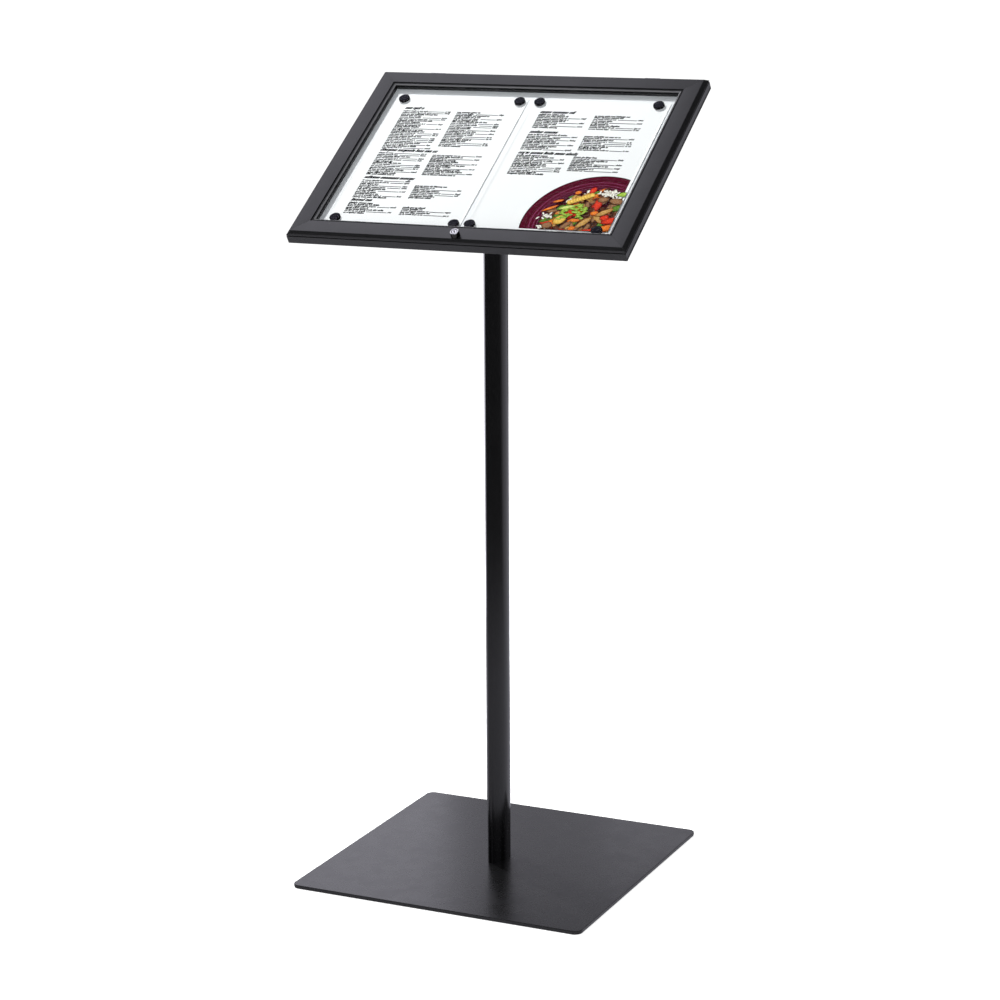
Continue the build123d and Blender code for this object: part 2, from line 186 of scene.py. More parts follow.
def leaning(n, normal, lean, crown, outward, start, roll, level):
    """Tips a rail's normal: a lean all over, a crown across its face and a roll below a level.

    The crown grows outward from the rail's inner edge, which is start from the middle of the face.
    The level is measured out of the face plane. Both are in millimetres.
    """
    place = n.add("TexCoord").outputs["Object"]
    inner = FACE.dot(outward) + start * MM
    along = n.remap(n.vector("DOT_PRODUCT", place, outward), inner, inner + RAIL_W * MM, -crown, crown)
    crowned = n.vector("ADD", n.vector("SCALE", outward, scale=along), lean)
    edge, fade = FACE.dot(OUT) + level * MM, 0.2 * MM
    below = n.remap(n.vector("DOT_PRODUCT", place, OUT), edge + fade, edge - fade)
    rolled = n.vector("ADD", crowned, n.vector("SCALE", roll, scale=below))
    return n.vector("NORMALIZE", n.vector("ADD", normal, rolled))


# ---------------------------------------------------------------- materials
def coated(name, tone, roughness, grain=1400.0, depth=0.04, edge=0.0004, rub=3.5, stretch=None, face=None):
    """Black powder coat or anodising: fine grain, soft cloudiness, edges lightened partly by rubbing and
    partly as a painted highlight.
    """
    n = Nodes(name)
    cloud = n.noise(9.0, 4.0)
    smear = n.noise(38.0, 5.0, 0.6)
    fine = n.noise(grain, 2.0, 0.6, stretch)
    worn, rounded = edge_amount(n, edge)
    speck = n.remap(n.noise(grain * 0.5, 1.0), 0.66, 0.74)
    colour = n.mix(cloud, grey(tone * 0.75), grey(tone * 1.3))
    colour = n.mix(n.math("MULTIPLY", speck, 0.35), colour, grey(tone * 3.0))
    # Edges lighten towards tone times rub: partly wear from rubbing, partly a painted edge highlight.
    rubbed_and_highlit = n.math("MULTIPLY", worn, n.remap(smear, 0.35, 0.7, 0.1, 0.5))
    colour = n.mix(rubbed_and_highlit, colour, grey(tone * rub))
    shine = n.add("BsdfPrincipled", Base_Color=colour)
    n.put(shine.inputs["Roughness"], n.remap(smear, 0.25, 0.75, roughness - 0.03, roughness + 0.04))
    if face:
        rounded = leaning(n, rounded, **face)
    n.put(shine.inputs["Normal"], n.bump(fine, depth, 0.0004, rounded))
    return n.finish(shine.outputs[0])


LOCK_FACE = on_face(4.0, -174.5, 7.4)
# Painted shade: a dark ring on the lock's metal where the gap between plug and housing lies in shade.
LOCK_GAP_SHADE = (3.3, 3.6, 4.5, 4.8)  # radii between which the dark ring fades in, and out again


def lock_gap_shade(n):
    """1 in the painted shade ring round the lock's plug, where the gap lies in shade, broken here and there,
    and 0 elsewhere.
    """
    away = n.vector("DISTANCE", n.add("TexCoord").outputs["Object"], LOCK_FACE)
    inner_start, inner_end, outer_start, outer_end = (radius * MM for radius in LOCK_GAP_SHADE)
    ring = n.math("MULTIPLY", n.remap(away, inner_start, inner_end), n.remap(away, outer_end, outer_start))
    broken = n.remap(n.noise(150.0, 1.0), 0.42, 0.55, 0.3, 0.95)
    return n.math("MULTIPLY", ring, broken)


def metal(name, tone, roughness, stretch=(1, 1, 1), is_lock=False):
    """Bare or plated metal with fine marks. On the lock, the sides get a painted dark reflection and a
    painted shade ring lies round the plug.
    """
    n = Nodes(name)
    marks = n.noise(900.0, 3.0, 0.7, stretch)
    cloud = n.noise(120.0, 3.0)
    rounded = edge_amount(n, 0.0002)[1]
    colour = n.mix(cloud, (tone * 0.9, tone * 0.9, tone * 0.9, 1), (tone, tone, tone * 1.01, 1))
    if is_lock:
        # Painted reflection: on the lock, faces turned away from OUT are painted near black, as the dark
        # surroundings they mirror.
        colour = n.mix(facing_amount(n, OUT, 0.2, 0.7), (0.05, 0.05, 0.045, 1), colour)
        # Painted shade ring in the gap round the plug.
        colour = n.mix(lock_gap_shade(n), colour, (0.03, 0.03, 0.03, 1))
    shine = n.add("BsdfPrincipled", Metallic=1.0, Base_Color=colour)
    n.put(shine.inputs["Roughness"], n.remap(marks, 0.3, 0.7, roughness * 0.8, roughness * 1.3))
    n.put(shine.inputs["Normal"], n.bump(marks, 0.06, 0.0002, rounded))
    return n.finish(shine.outputs[0])


def rubber(name, tone, roughness):
    """Moulded rubber with a fine matt grain, paler where its edges rub."""
    n = Nodes(name)
    fine = n.noise(900.0, 3.0, 0.6)
    cloud = n.noise(60.0, 3.0)
    worn, rounded = edge_amount(n, 0.0003)
    colour = n.mix(cloud, grey(tone * 0.8), grey(tone * 1.3))
    colour = n.mix(n.math("MULTIPLY", worn, 0.25), colour, grey(tone * 2.5))
    shine = n.add("BsdfPrincipled", Base_Color=colour)
    n.put(shine.inputs["Roughness"], n.remap(fine, 0.3, 0.7, roughness - 0.05, roughness + 0.06))
    n.put(shine.inputs["Normal"], n.bump(fine, 0.12, 0.0003, rounded))
    return n.finish(shine.outputs[0])


def button(name):
    """Matt plastic cap, greyer on its flat front; its rounded rim and sides are painted nearly black as
    shade.
    """
    n = Nodes(name)
    fine = n.noise(900.0, 3.0, 0.6)
    cloud = n.noise(160.0, 2.0)
    top = n.mix(cloud, (0.005, 0.005, 0.008, 1), (0.012, 0.011, 0.017, 1))
    # Painted shade: all but the flat front, which faces OUT, is painted near black.
    colour = n.mix(facing_amount(n, OUT, 0.90, 0.995), grey(0.003), top)
    shine = n.add("BsdfPrincipled", Specular_IOR_Level=0.06, Base_Color=colour)
    n.put(shine.inputs["Roughness"], n.remap(fine, 0.3, 0.7, 0.40, 0.52))
    n.put(shine.inputs["Normal"], n.bump(fine, 0.05, 0.0003))
    return n.finish(shine.outputs[0])


def highlit_gasket_rubber(name):
    """Black glazing rubber; its slope towards the glass is painted grey as a highlight."""
    n = Nodes(name)
    fine = n.noise(900.0, 3.0, 0.6)
    cloud = n.noise(60.0, 3.0)
    # Painted highlight: the slope of the bead that faces partly out is painted grey where it would catch the
    # light.
    painted_lip_highlight = n.math("MULTIPLY", facing_amount(n, OUT, 0.70, 0.76), facing_amount(n, OUT, 0.90, 0.87))
    colour = n.mix(cloud, grey(0.006), grey(0.010))
    colour = n.mix(painted_lip_highlight, colour, n.mix(cloud, grey(0.15), grey(0.20)))
    shine = n.add("BsdfPrincipled", Specular_IOR_Level=0.2, Base_Color=colour)
    n.put(shine.inputs["Roughness"], n.remap(fine, 0.3, 0.7, 0.40, 0.50))
    n.put(shine.inputs["Normal"], n.bump(fine, 0.03, 0.0002))
    return n.finish(shine.outputs[0])


def enamel(name):
    """White enamelled sheet steel: slight orange peel."""
    n = Nodes(name)
    peel = n.noise(260.0, 2.0)
    cloud = n.noise(14.0, 4.0)
    colour = n.mix(cloud, (0.88, 0.89, 0.90, 1), (0.91, 0.915, 0.92, 1))
    shine = n.add("BsdfPrincipled", Base_Color=colour)
    n.put(shine.inputs["Roughness"], n.remap(cloud, 0.3, 0.7, 0.3, 0.4))
    n.put(shine.inputs["Normal"], n.bump(peel, 0.08, 0.0003))
    return n.finish(shine.outputs[0])


def paper(name):
    """Smooth white paper with fibres too fine to see except close up."""
    n = Nodes(name)
    fibre = n.noise(1500.0, 4.0, 0.7, (1, 1, 3))
    cloud = n.noise(30.0, 3.0)
    colour = n.mix(cloud, (0.90, 0.90, 0.90, 1), (0.93, 0.93, 0.925, 1))
    shine = n.add("BsdfPrincipled", Specular_IOR_Level=0.10, Base_Color=colour)
    n.put(shine.inputs["Roughness"], n.remap(fibre, 0.3, 0.7, 0.55, 0.7))
    n.put(shine.inputs["Normal"], n.bump(fibre, 0.05, 0.0001))
    return n.finish(shine.outputs[0])


def text_ink(name):
    """Printed black ink: soaked in unevenly, slightly glossier than the paper."""
    n = Nodes(name)
    mottle = n.noise(2600.0, 3.0, 0.7)
    colour = n.mix(mottle, (0.0056, 0.0056, 0.0063, 1), (0.008, 0.008, 0.009, 1))
    shine = n.add("BsdfPrincipled", Specular_IOR_Level=0.08, Base_Color=colour)
    n.put(shine.inputs["Roughness"], n.remap(mottle, 0.3, 0.7, 0.45, 0.6))
    return n.finish(shine.outputs[0])


def picture_ink(name):
    """Colour print: the picture's own colours with a fine dot mottle."""
    n = Nodes(name)
    own = n.add("VertexColor", layer_name="print").outputs["Color"]
    dots = n.noise(700.0, 4.0, 0.75)
    tinted = n.add("HueSaturation", Value=n.remap(dots, 0.3, 0.7, 0.40, 1.50), Color=own)
    shine = n.add("BsdfPrincipled", Specular_IOR_Level=0.03, Base_Color=tinted.outputs[0])
    n.put(shine.inputs["Roughness"], n.remap(dots, 0.3, 0.7, 0.3, 0.4))
    return n.finish(shine.outputs[0])


def clear_sheet(name):
    """Clear acrylic: seen through, with a thin reflection that a few faint wipe marks break up."""
    n = Nodes(name)
    wipe = n.noise(16.0, 5.0, 0.6, (1, 6, 6))
    through = n.add("BsdfTransparent", Color=(0.985, 0.992, 0.99, 1))
    gloss = n.add("BsdfGlossy", Color=(1, 1, 1, 1), Roughness=n.remap(wipe, 0.3, 0.7, 0.03, 0.09))
    grazing = n.math("POWER", n.add("LayerWeight").outputs["Facing"], 5.0)
    reflected = n.remap(grazing, 0.0, 1.0, 0.0012, 0.12)
    return n.finish(n.mix_shader(reflected, through.outputs[0], gloss.outputs[0]))


def anodised(name, face=None):
    """The satin black of all eight aluminium rails."""
    # A high rub paints a strong edge highlight on the rails, on top of their wear.
    return coated(name, 0.013, 0.30, grain=1500.0, depth=0.05, edge=0.0007, rub=8.0, face=face)


looks = {
    "frame": anodised("frame_black"),
    "adapter": coated("adapter_black", 0.014, 0.40, grain=800.0, depth=0.12),
    "post": coated("post_black", 0.004, 0.17, grain=500.0, depth=0.015, stretch=(1, 1, 0.2)),
    "base": coated("base_black", 0.006, 0.27, grain=1200.0, depth=0.05),
    "rubber": rubber("black_rubber", 0.010, 0.50),
    "gasket": highlit_gasket_rubber("gasket_rubber"),
    "zinc": metal("inner_steel", 0.60, 0.34),
    "cast": metal("cast_aluminium", 0.58, 0.5),
    "screw": metal("screw_black", 0.09, 0.32),
    "nickel": metal("lock_nickel", 0.74, 0.16, (1, 4, 4), is_lock=True),
    "enamel": enamel("panel_white"),
    "paper": paper("paper_white"),
    "magnet": button("magnet_black"),
    "acrylic": clear_sheet("acrylic"),
}

# Extruded rails are never quite flat. Each rail that shows has its own lean and crown, and the bottom
# rail's chamfer and the right-hand case wall roll over below a level.
HALF_W, HALF_H = 257.0, 186.5
SIDE_START, END_START = HALF_W - RAIL_W, HALF_H - RAIL_W
STILL = Vector((0, 0, 0))
DEEP = -30.0  # a level below the whole door


def rail_face(lean, crown, outward, start, roll=STILL, level=DEEP):
    return {"lean": lean, "crown": crown, "outward": outward, "start": start, "roll": roll, "level": level}


RAIL_FACES = {
    "door_left": rail_face((0.010, -0.010, 0.0), 0.035, -ACROSS, SIDE_START),
    "door_right": rail_face((-0.020, 0.0, 0.0), 0.030, ACROSS, SIDE_START),
    "door_top": rail_face(STILL, 0.020, UP, END_START),
    "door_bottom": rail_face((-0.010, 0.040, 0.025), 0.020, -UP, END_START, OUT * -0.6, -3.4),
    "case_right": rail_face(STILL, 0.0, ACROSS, SIDE_START, Vector((0, -0.28, 0)), -15.4),
}
for rail, face in RAIL_FACES.items():
    looks[rail] = anodised("frame_black_" + rail, face)

# The look of each node goes by the longest of these starts that its name has.
FINISHES = {
    "door_left": ["door_rail_left"],
    "door_right": ["door_rail_right"],
    "door_top": ["door_rail_top"],
    "door_bottom": ["door_rail_bottom"],
    "case_right": ["case_rail_right"],
    "frame": ["case_rail"],
    "adapter": ["head_adapter", "rear_cover"],
    "post": ["post_tube"],
    "base": ["base_plate"],
    "rubber": ["base_mat", "dust_seal"],
    "gasket": ["glazing_gasket"],
    "zinc": ["foot_screws", "tie_", "head_nuts", "stiffener", "hinge_", "lock_nut", "lock_cam", "cam_screw"],
    "cast": ["post_foot_insert", "case_corner_keys", "door_corner_keys"],
    "screw": ["rear_cover_screws", "head_screws"],
    "nickel": ["lock_housing", "lock_plug"],
    "enamel": ["display_panel"],
    "paper": ["page_"],
    "magnet": ["magnets"],
    "acrylic": ["glazing"],
}
for node_name, node in nodes.items():
    matches = [(len(s), k) for k, starts in FINISHES.items() for s in starts if node_name.startswith(s)]
    node.data.materials.clear()
    node.data.materials.append(looks[max(matches)[1]])


# ---------------------------------------------------------------- pages
def mesh_piece(name, mesh, look, body):
    """Puts a finished bmesh into the scene as a piece that rides on a body."""
    data = bpy.data.meshes.new(name)
    mesh.to_mesh(data)
    mesh.free()
    piece = bpy.data.objects.new(name, data)
    bpy.context.scene.collection.objects.link(piece)
    data.materials.append(look)
    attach(piece, body)
    return piece


PAGE_W, PAGE_H, PAGE_TOP = 210.0, 297.0, 136.8
PAGE_BACK, PAGE_FRONT = -10.0, -9.8
SHEETS = {"page_left": -214.0, "page_right": 5.5}
CURL_WIDTH, CURL_LEFT, CURL_RIGHT = 5.0, 0.6, 0.9
HELD, FREED = 22.0, 52.0  # distances from a sheet's ends: flattest up to the first, free after the second

# Where the sheet's mesh lines run, closest together where it curls
SHEET_COLUMNS = (
    0, 0.7, 1.5, 2.5, 3.5, 5, 7, 10, 30, 105,
    180, 200, 203, 205, 206.5, 207.5, 208.5, 209.3, PAGE_W,
)
SHEET_ROWS = (0, 6, 12, 22, 32, 42, 52, 80, 148, 217, 245, 255, 265, 275, 285, 291, PAGE_H)


def sheet_lift(across, down):
    """How far the paper stands off the panel: its long edges curl a little, most on the right."""
    right = max(0.0, 1 - (PAGE_W - across) / CURL_WIDTH) ** 2
    left = max(0.0, 1 - across / CURL_WIDTH) ** 2
    from_end = min(down, PAGE_H - down)
    free = min(1.0, max(0.0, (from_end - HELD) / (FREED - HELD)))
    return (CURL_RIGHT * right + CURL_LEFT * left) * (0.5 + 0.5 * free)


def make_sheet(name, left):
    """One printed sheet as a thin closed solid with slightly curled edges."""
    mesh = bmesh.new()

    def layer(surface):
        return [
            [
                mesh.verts.new(on_face(left + x, PAGE_TOP - y, surface + sheet_lift(x, y)))
                for x in SHEET_COLUMNS
            ]
            for y in SHEET_ROWS
        ]

    front, back = layer(PAGE_FRONT), layer(PAGE_BACK)
    for i in range(len(SHEET_ROWS) - 1):
        for j in range(len(SHEET_COLUMNS) - 1):
            mesh.faces.new((front[i][j], front[i + 1][j], front[i + 1][j + 1], front[i][j + 1]))
            mesh.faces.new((back[i][j], back[i][j + 1], back[i + 1][j + 1], back[i + 1][j]))
    rims = [
        (grid[0], grid[-1][::-1], [row[0] for row in grid][::-1], [row[-1] for row in grid])
        for grid in (front, back)
    ]
    for edge_front, edge_back in zip(*rims):
        for k in range(len(edge_front) - 1):
            mesh.faces.new((edge_front[k], edge_front[k + 1], edge_back[k + 1], edge_back[k]))
    bmesh.ops.recalc_face_normals(mesh, faces=mesh.faces)
    piece = mesh_piece("sheet_" + name, mesh, looks["paper"], "stand")
    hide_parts(name)


for sheet, left_edge in SHEETS.items():
    make_sheet(sheet, left_edge)

# ---------------------------------------------------------------- magnets
MAGNETS = (
    (-202, 130), (-16.5, 131), (15, 131), (198.5, 131),
    (-200, -140), (-14.5, -141.5), (9.5, -140.5), (199, -141),
)
MAGNET_PROFILE = ((8.0, 0.0), (8.0, 3.0), (7.92, 3.3), (7.7, 3.52), (7.4, 3.6), (3.5, 3.6))
MAGNET_SIDES = 56


def make_magnets():
    """Eight round buttons with a softened rim, turned about the panel's normal."""
    mesh = bmesh.new()
    for u, v in MAGNETS:
        rings = [
            [
                mesh.verts.new(on_face(u + x, v + y, PAGE_FRONT + high))
                for x, y in circle(radius, MAGNET_SIDES)
            ]
            for radius, high in MAGNET_PROFILE
        ]
        mesh.faces.new(rings[0][::-1])
        mesh.faces.new(rings[-1])
        for lower, upper in zip(rings, rings[1:]):
            for k in range(MAGNET_SIDES):
                after = (k + 1) % MAGNET_SIDES
                mesh.faces.new((lower[k], lower[after], upper[after], upper[k]))
    for face in mesh.faces:
        face.smooth = True
    piece = mesh_piece("magnet_buttons", mesh, looks["magnet"], "stand")
    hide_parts("magnets")


make_magnets()

# ---------------------------------------------------------------- print on the sheets
PRINT_LIFT = 0.03
SECOND, COLUMN = 87.0, 77.0  # where the second column starts, and how wide each one is
LINE_PITCH, BASELINE = 3.45, 0.75
NAME_SIZE, ENTRY_SIZE, FIGURE_SIZE, HEADING_SIZE = 2.2, 2.6, 2.5, 4.5
FIGURE_WIDTH, LEADER_HEIGHT = 9.0, 1.35


class Printing:
    """Greeked text on one sheet: words of small upright marks, no real letters."""

    def __init__(self, sheet, seed):
        self.left = SHEETS[sheet]
        self.rng = random.Random(seed)
        self.mesh = bmesh.new()

    def mark(self, x, down, width, height, slant=0.0):
        """A small printed parallelogram, its lower left corner at x, down."""
        v = PAGE_TOP - down
        corners = [(x, v), (x + width, v), (x + width + slant, v + height), (x + slant, v + height)]
        self.mesh.faces.new([
            self.mesh.verts.new(on_face(self.left + a, b, PAGE_FRONT + PRINT_LIFT)) for a, b in corners
        ])

    def run(self, x, down, length, size, slant, weight=1.0):
        """A line of words. Some marks are tall, some hang low, and most are joined to the next one."""
        rng = self.rng
        end = x + length
        while x < end - size:
            for _ in range(rng.randint(2, 9)):
                if x > end - size * 0.5:
                    break
                tall = rng.random()
                height = size * (1.35 if tall > 0.84 else 1.0)
                drop = size * (0.35 if tall < 0.07 else 0.0)
                wide = size * rng.uniform(0.42, 0.78)
                self.mark(x, down + drop, wide * weight, height + drop, slant * height)
                if rng.random() < 0.55:
                    middle = rng.choice((0.0, 0.4, 0.8)) * size
                    self.mark(x, down - middle, wide, size * 0.22)
                x += wide + size * 0.06
            x += size * 0.40

    def block(self, x, top, bottom):
        """A column of entries: a line or two, then a name with a leader and a figure."""
        rng = self.rng
        down = top
        while down < bottom:
            lines = rng.randint(1, 3)
            for line in range(lines):
                if down > bottom:
                    return
                base = down + LINE_PITCH * BASELINE
                if line < lines - 1:
                    self.run(x, base, COLUMN * rng.uniform(0.38, 0.80), ENTRY_SIZE, 0.0)
                else:
                    length = COLUMN * rng.uniform(0.3, 0.62)
                    self.run(x, base, length, NAME_SIZE, 0.0)
                    start, figure = x + length + 1.5, x + COLUMN - FIGURE_WIDTH
                    self.mark(start, base, figure - start - 1.0, LEADER_HEIGHT)
                    self.run(figure, base, FIGURE_WIDTH, FIGURE_SIZE, 0.2, weight=0.95)
                down += LINE_PITCH
            down += LINE_PITCH * 0.12

    def heading(self, x, down, length):
        """A bold slanting heading of generic marks."""
        self.run(x, down + 2.2, length, HEADING_SIZE, 0.45)


# Distances down each sheet: headings have a length too, and columns run from one distance to the next.
LAYOUT = {
    "page_left": {
        "seed": 66,
        "indent": 21.0,
        "headings": [(26.8, 32), (123.6, 92), (185.6, 80), (235.6, 34)],
        "left": [(32.0, 118.0), (128.8, 180.0), (190.8, 230.0), (240.8, 263.0)],
        "right": [(32.0, 110.0), (130.0, 175.0), (199.0, 226.0), (246.0, 263.0)],
    },
    "page_right": {
        "seed": 73,
        "indent": 17.5,
        "headings": [(26.8, 53), (72.0, 45), (118.4, 91)],
        "left": [(31.0, 63.0), (76.5, 111.0), (123.0, 166.0)],
        "right": [(31.0, 62.0), (77.0, 109.0), (123.0, 152.0)],
    },
}
for sheet, parts in LAYOUT.items():
    text, indent = Printing(sheet, parts["seed"]), parts["indent"]
    for down, length in parts["headings"]:
        text.heading(indent, down, length)
    for top, bottom in parts["left"]:
        text.block(indent, top, bottom)
    for top, bottom in parts["right"]:
        text.block(indent + SECOND, top, bottom)
    mesh_piece("print_" + sheet, text.mesh, text_ink("ink_" + sheet), "stand")

# ---------------------------------------------------------------- picture on the right sheet
# A generic meal on a ringed plate. Points are in plate radii from the plate's centre.
PLATE_U, PLATE_V, PLATE_R = 178.0, -122.0, 96.5
PICTURE_RIGHT = SHEETS["page_right"] + PAGE_W - 0.2
PICTURE_BOTTOM = -142.0
SHAPE_STEP = 0.004  # how much further out each shape lies than the one before
CENTRE = 0.0001
# Rings of a morsel: share of its size, share of its dark colour, and shift up and to the left
BLOB_RINGS = ((0.35, 0.0, 0.16), (0.72, 0.25, 0.08), (0.93, 0.8, 0.0), (1.0, 1.25, 0.0))


class Picture:
    """Flat coloured shapes laid over each other and cropped to the sheet."""

    def __init__(self):
        self.mesh = bmesh.new()
        self.colour = self.mesh.loops.layers.float_color.new("print")
        self.level = 0

    def outline(self, points):
        """Verts at points given in plate radii, on the present level."""
        height = PAGE_FRONT + PRINT_LIFT + self.level * SHAPE_STEP
        places = [on_face(PLATE_U + x * PLATE_R, PLATE_V + y * PLATE_R, height) for x, y in points]
        return [self.mesh.verts.new(place) for place in places]

    def band(self, inner, outer, tint_in, tint_out):
        """Faces between two closed outlines, blending one colour into the other."""
        count = len(inner)
        for k in range(count):
            after = (k + 1) % count
            face = self.mesh.faces.new((inner[k], outer[k], outer[after], inner[after]))
            for loop, tint in zip(face.loops, (tint_in, tint_out, tint_out, tint_in)):
                loop[self.colour] = tint

    def ring(self, inner, outer, tint, sides=160):
        self.level += 1
        self.band(self.outline(circle(inner, sides)), self.outline(circle(outer, sides)), tint, tint)

    def patch(self, rings):
        """Closed outlines from the middle outwards, each with its colour."""
        self.level += 1
        made = [(self.outline(points), tint) for points, tint in rings]
        core = self.mesh.faces.new(made[0][0])
        for loop in core.loops:
            loop[self.colour] = made[0][1]
        for (inner, tint_in), (outer, tint_out) in zip(made, made[1:]):
            self.band(inner, outer, tint_in, tint_out)

    def blob(self, x, y, long, wide, turn, light, dark, rng, wobble=0.12, sides=18):
        """An irregular morsel, lit from above left and darker round its rim."""
        shape = [1 + rng.uniform(-wobble, wobble) for _ in range(sides)]
        a = math.radians(turn)
        rings = []
        for scale, blend, shift in BLOB_RINGS:
            points = []
            for (unit_x, unit_y), bulge in zip(circle(1.0, sides), shape):
                px, py = long * scale * bulge * unit_x, wide * scale * bulge * unit_y
                points.append((
                    x + px * math.cos(a) - py * math.sin(a) - shift * wide,
                    y + px * math.sin(a) + py * math.cos(a) + shift * wide,
                ))
            tint = tuple(max(0.0, p + (q - p) * blend) for p, q in zip(light, dark)) + (1,)
            rings.append((points, tint))
        self.patch(rings)

    def crop(self, point, outward):
        bmesh.ops.bisect_plane(
            self.mesh, geom=self.mesh.verts[:] + self.mesh.edges[:] + self.mesh.faces[:],
            plane_co=point, plane_no=outward, clear_outer=True, dist=1e-7,
        )


# Lit and shaded colour of each kind of morsel
GREEN = ((0.42, 0.62, 0.08), (0.04, 0.13, 0.01))
DEEP_GREEN = ((0.12, 0.26, 0.03), (0.01, 0.04, 0.005))
LIME = ((0.68, 0.78, 0.22), (0.25, 0.40, 0.05))
CARROT = ((0.85, 0.22, 0.03), (0.35, 0.05, 0.01))
PEPPER = ((0.75, 0.05, 0.02), (0.25, 0.01, 0.01))
CORN = ((0.90, 0.60, 0.12), (0.50, 0.24, 0.03))
MEAT = ((0.34, 0.17, 0.08), (0.06, 0.02, 0.01))
CRUST = ((0.60, 0.34, 0.10), (0.22, 0.08, 0.02))
RICE = ((0.95, 0.93, 0.86), (0.55, 0.48, 0.36))
SAUCE = ((0.12, 0.04, 0.02), (0.03, 0.01, 0.005))

GLAZE = (0.086, 0.001, 0.013, 1)
SHADE = (0.036, 0.001, 0.006, 1)
LINE = (0.25, 0.04, 0.11, 1)
PLATE_RINGS = (
    (CENTRE, 1.0, GLAZE),
    (0.982, 1.0, SHADE),
    (0.900, 0.912, SHADE),
    (0.850, 0.862, LINE),
    (0.800, 0.806, SHADE),
    (0.790, 0.800, LINE),
    (CENTRE, 0.764, SHADE),
    (0.740, 0.749, LINE),
    (0.700, 0.707, LINE),
)
RICE_HEAPS = (
    (0.13, 0.64), (0.05, 0.60), (0.20, 0.62), (-0.40, 0.42),
    (-0.66, 0.08), (-0.63, -0.16), (0.27, 0.56),
)
# Morsels placed one by one: middle x and y, length, width, turn in degrees and kind
MORSELS = (
    (-0.58, 0.40, 0.09, 0.025, 20, CARROT), (-0.65, 0.24, 0.13, 0.025, 35, CARROT),
    (-0.34, 0.60, 0.05, 0.04, 0, CARROT), (-0.13, 0.66, 0.07, 0.055, 70, PEPPER),
    (0.04, 0.36, 0.13, 0.06, 95, PEPPER), (0.05, 0.17, 0.06, 0.05, 20, CARROT),
    (0.09, 0.47, 0.09, 0.06, 10, MEAT), (0.30, 0.44, 0.12, 0.07, -10, MEAT),
    (0.36, 0.30, 0.09, 0.07, 30, DEEP_GREEN), (0.20, 0.20, 0.15, 0.05, 38, CRUST),
    (-0.04, -0.04, 0.15, 0.055, 55, CRUST), (-0.16, -0.22, 0.11, 0.05, 35, MEAT),
    (-0.42, 0.0, 0.11, 0.085, 60, CORN), (-0.57, -0.13, 0.09, 0.07, 0, MEAT),
    (-0.18, -0.17, 0.055, 0.05, 0, CARROT), (0.34, 0.02, 0.13, 0.07, 20, PEPPER),
    (0.24, 0.08, 0.07, 0.06, 0, PEPPER), (0.30, -0.15, 0.16, 0.07, 30, CARROT),
    (0.12, -0.22, 0.17, 0.06, 5, PEPPER), (-0.32, -0.23, 0.08, 0.04, 0, PEPPER),
    (-0.55, -0.27, 0.10, 0.05, 0, DEEP_GREEN), (0.36, 0.60, 0.11, 0.05, 10, GREEN),
)


def strew_food(art, rng):
    """The heap under the listed morsels: sauce, a loose rim and a random middle."""
    for _ in range(60):
        t, r = rng.uniform(0, 2 * math.pi), rng.uniform(0.0, 0.60)
        art.blob(r * math.cos(t), r * math.sin(t), 0.11, 0.08, rng.uniform(0, 180), *SAUCE, rng)
    for _ in range(34):
        t, r = rng.uniform(0, 2 * math.pi), rng.uniform(0.50, 0.69)
        kind = rng.choice((RICE, RICE, CARROT, MEAT))
        art.blob(r * math.cos(t), r * math.sin(t), 0.055, 0.03, rng.uniform(0, 180), *kind, rng, 0.25)
    for _ in range(130):
        t, r = rng.uniform(0, 2 * math.pi), 0.64 * math.sqrt(rng.random())
        kind = rng.choice((MEAT, MEAT, CRUST, CARROT, PEPPER, PEPPER, DEEP_GREEN, CRUST, SAUCE))
        size = rng.uniform(0.035, 0.085)
        turn = rng.uniform(0, 180)
        art.blob(r * math.cos(t), r * math.sin(t), size * 1.7, size * 0.7, turn, *kind, rng, 0.2)


def garnish(art, rng):
    """A cob of sweetcorn and a heap of salad leaves with one long pale one."""
    for k in range(9):
        t = k / 8
        art.blob(-0.40 + 0.29 * t, 0.385 + 0.17 * t, 0.042, 0.052, 30, *CORN, rng, 0.05, 14)
    for _ in range(46):
        x = rng.uniform(-0.44, -0.10)
        y = 0.30 - 0.35 * abs(x + 0.25) + rng.uniform(-0.22, 0.04)
        art.blob(x, y, rng.uniform(0.03, 0.06), 0.02, rng.uniform(-60, 60), *GREEN, rng, 0.25, 12)
    art.blob(-0.40, 0.27, 0.12, 0.035, 20, *LIME, rng)


def make_picture():
    rng = random.Random(11)
    art = Picture()
    for inner, outer, tint in PLATE_RINGS:
        art.ring(inner, outer, tint)
    strew_food(art, rng)
    for heap_x, heap_y in RICE_HEAPS:
        for _ in range(14):
            x, y = heap_x + rng.gauss(0, 0.045), heap_y + rng.gauss(0, 0.03)
            art.blob(x, y, 0.034, 0.014, rng.uniform(0, 180), *RICE, rng, 0.1, 10)
    for x, y, long, wide, turn, kind in MORSELS:
        art.blob(x, y, long, wide, turn, *kind, rng)
    garnish(art, rng)
    art.crop(on_face(PICTURE_RIGHT, 0, 0), ACROSS)
    art.crop(on_face(0, PICTURE_BOTTOM, 0), -UP)
    mesh_piece("print_picture", art.mesh, picture_ink("picture_ink"), "stand")


make_picture()

# ---------------------------------------------------------------- floor and surroundings
STUDIO_TINT = (1.0, 0.985, 1.11, 1)
WHITE = (1, 1, 1, 1)
FLOOR_RADIUS, FLOOR_DROP = 60.0, 0.2 * MM


